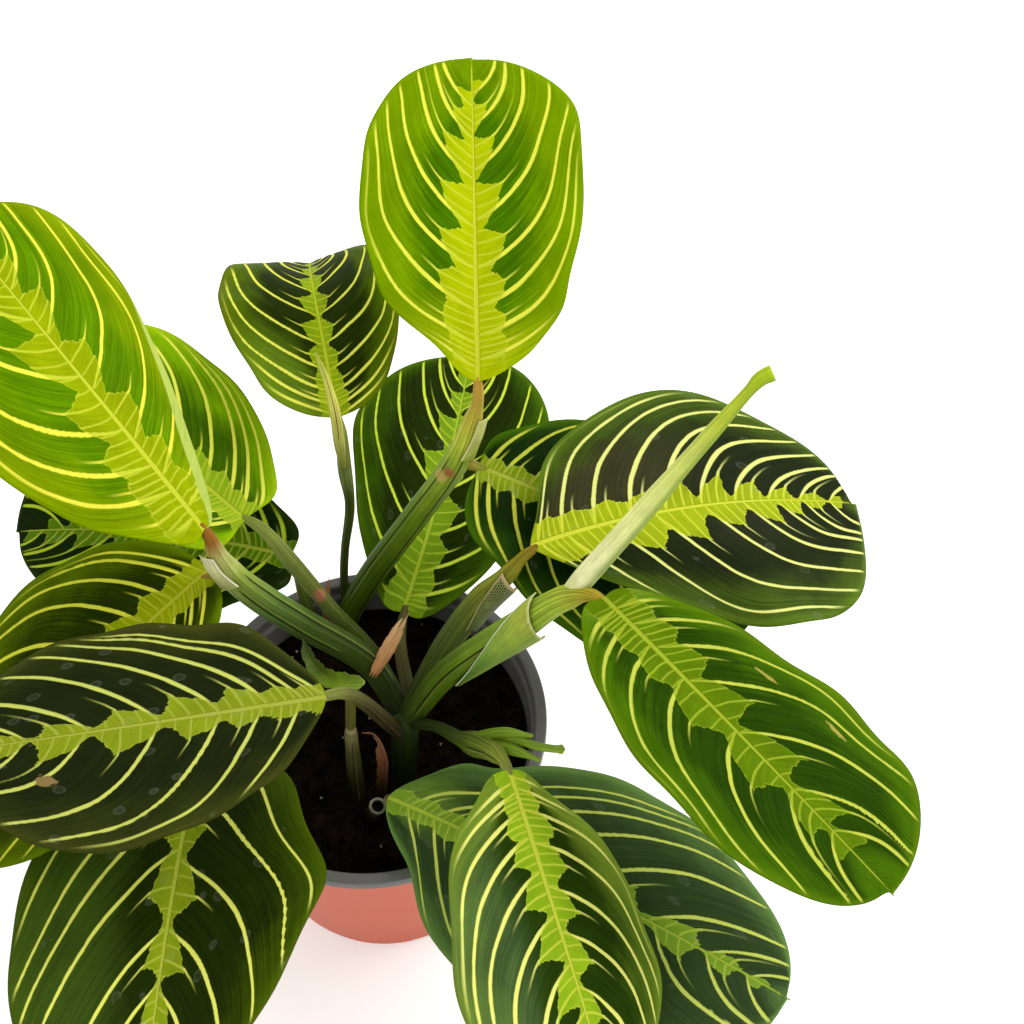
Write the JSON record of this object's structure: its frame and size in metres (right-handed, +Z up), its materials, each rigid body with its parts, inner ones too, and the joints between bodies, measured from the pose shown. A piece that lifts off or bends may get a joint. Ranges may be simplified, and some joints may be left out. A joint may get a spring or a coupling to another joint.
{
  "type": "potted prayer plant",
  "caption": "Leafy low houseplant with broad oval patterned leaves on sheathed stalks, growing in a round tapered plastic nursery pot filled with compost.",
  "frame": {"origin": "centre of the pot's underside, on the surface it stands on", "axes": "+Z up along the pot's axis, -Y towards the viewer of the picture, +X to the viewer's right"},
  "size_m": [0.2953, 0.3051, 0.2508],
  "materials": {
    "leaf_bright": "satin",
    "leaf_dark": "satin",
    "leaf_mid": "satin",
    "stalk_green": "satin",
    "sheath_pale": "matte",
    "husk_dry": "matte",
    "compost": "matte",
    "pot_plastic": "satin"
  },
  "bodies": {
    "root": {"pot": "pot_plastic", "soil": "compost", "leaf_back_tall": "leaf_bright", "leaf_left_bright": "leaf_bright", "leaf_back_left": "leaf_dark", "leaf_back_low": "leaf_dark", "leaf_right_under": "leaf_mid", "leaf_right_dark": "leaf_dark", "leaf_right_front": "leaf_mid", "leaf_front_small": "leaf_mid", "leaf_front_large": "leaf_dark", "leaf_front_left": "leaf_dark", "leaf_left_dark": "leaf_dark", "leaf_left_mid": "leaf_mid", "leaf_left_upper": "leaf_mid", "leaf_left_low": "leaf_dark", "leaf_furled": "leaf_bright", "flower_bud": "leaf_bright", "stem_crown": "stalk_green", "stem_back": "stalk_green", "stem_left": "stalk_green", "stem_right": "stalk_green", "stem_right_back": "stalk_green", "stem_front": "stalk_green", "petiole_left_upper": "stalk_green", "petiole_back_low": "stalk_green", "petiole_left": "stalk_green", "stalk_old": "stalk_green", "petiole_left_mid": "stalk_green", "petiole_right_under": "stalk_green", "petiole_back_left": "stalk_green", "spike_back_left": "stalk_green", "petiole_left_low": "stalk_green", "petiole_front_left": "stalk_green", "petiole_front": "stalk_green", "stub_cut": "stalk_green", "sheath_right": "sheath_pale", "sheath_right_back": "sheath_pale", "sheath_left_mouth": "sheath_pale", "sheath_back_mouth": "sheath_pale", "sheath_torn": "sheath_pale", "husk_crown": "husk_dry", "husk_back": "husk_dry", "husk_front": "husk_dry"}
  },
  "joints": []
}
